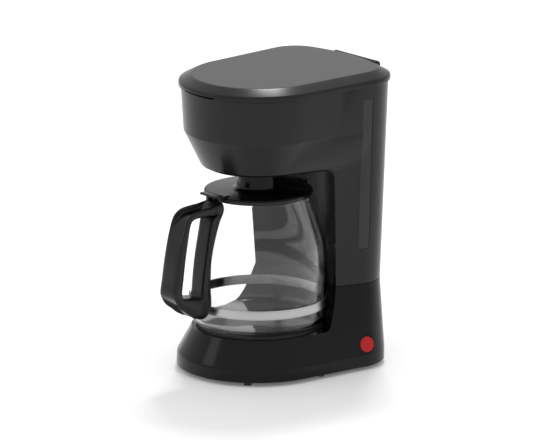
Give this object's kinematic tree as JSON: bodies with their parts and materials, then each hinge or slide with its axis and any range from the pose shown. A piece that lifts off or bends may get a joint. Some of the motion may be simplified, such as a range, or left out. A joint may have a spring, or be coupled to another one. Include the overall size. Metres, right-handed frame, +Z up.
{
  "type": "drip coffee maker",
  "caption": "Countertop drip coffee maker: flared base with warming plate, water-tank tower, overhanging brew head with hinged lid, glass carafe with grip handle.",
  "frame": {"origin": "on the table, under the middle of the bounding box", "axes": "+Z up, the carafe handle points along -Y, the switch side of the machine faces +X"},
  "size_m": [0.1844, 0.268, 0.318],
  "materials": {
    "housing_black": "satin black moulded plastic",
    "base_black": "glossy black moulded plastic",
    "inner_black": "matte black inner moulding",
    "window_smoke": "smoked translucent plastic",
    "milky_plastic": "translucent natural plastic",
    "rubber_black": "soft black rubber",
    "silicone": "silicone",
    "button_red": "glossy red plastic",
    "steel": "brushed stainless steel",
    "aluminium": "cast aluminium",
    "plate_coating": "non-stick coated plate",
    "glass": "clear borosilicate glass",
    "white_ceramic": "white sleeve"
  },
  "bodies": {
    "machine": {"base_housing": "base_black", "bottom_cover": "inner_black", "warming_plate": "plate_coating", "plate_gasket": "silicone", "heating_element": "aluminium", "element_clamp": "steel", "clamp_nut": "steel", "thermostat": "aluminium", "thermal_fuse": "white_ceramic", "check_valve": "milky_plastic", "cold_hose": "silicone", "hot_hose": "silicone", "riser_tube": "milky_plastic", "shower_arm": "inner_black", "main_housing": "housing_black", "bay_panel": "inner_black", "water_window": "window_smoke", "water_tank": "milky_plastic", "top_deck": "inner_black", "tower_screw_left": "steel", "tower_screw_right": "steel", "brew_basket": "inner_black", "hinge_block": "housing_black", "hinge_pin": "steel", "switch_bezel": "inner_black", "switch_body": "inner_black", "cord_gland": "rubber_black", "foot_left_1": "rubber_black", "foot_left_2": "rubber_black", "foot_left_3": "rubber_black", "base_screw_left_1": "steel", "base_screw_left_2": "steel", "foot_right_1": "rubber_black", "foot_right_2": "rubber_black", "foot_right_3": "rubber_black", "base_screw_right_1": "steel", "base_screw_right_2": "steel"},
    "lid": {"machine_lid": "housing_black"},
    "switch": {"power_button": "button_red"},
    "valve": {"drip_valve": "button_red", "valve_spring": "steel", "valve_seal": "silicone"},
    "carafe": {"carafe_glass": "glass", "steel_band": "steel", "band_screw": "steel", "carafe_collar": "housing_black", "handle": "housing_black", "carafe_lid_pin": "steel"},
    "carafe_cover": {"carafe_lid": "housing_black"}
  },
  "joints": [
    {"name": "lid_hinge", "type": "hinge", "parent": "machine", "child": "lid", "pos_m": [0, 0.13, 0.3102], "axis": [-1, 0, 0], "range_deg": [0, 95]},
    {"name": "switch_press", "type": "slide", "parent": "machine", "child": "switch", "axis": [-0.9756, 0.111, -0.1893], "range_m": [0, 0.003], "stiffness_N_per_m": 400, "springref_m": -0.001},
    {"name": "drip_valve_lift", "type": "slide", "parent": "machine", "child": "valve", "axis": [0, 0, 1], "range_m": [0, 0.004], "stiffness_N_per_m": 150, "springref_m": -0.003, "deforming": ["valve_spring"]},
    {"name": "carafe_pull", "type": "slide", "parent": "machine", "child": "carafe", "axis": [0, -1, 0], "range_m": [0, 0.25]},
    {"name": "carafe_lid_hinge", "type": "hinge", "parent": "carafe", "child": "carafe_cover", "pos_m": [0, -0.0671, 0.1953], "axis": [1, 0, 0], "range_deg": [0, 3]}
  ]
}
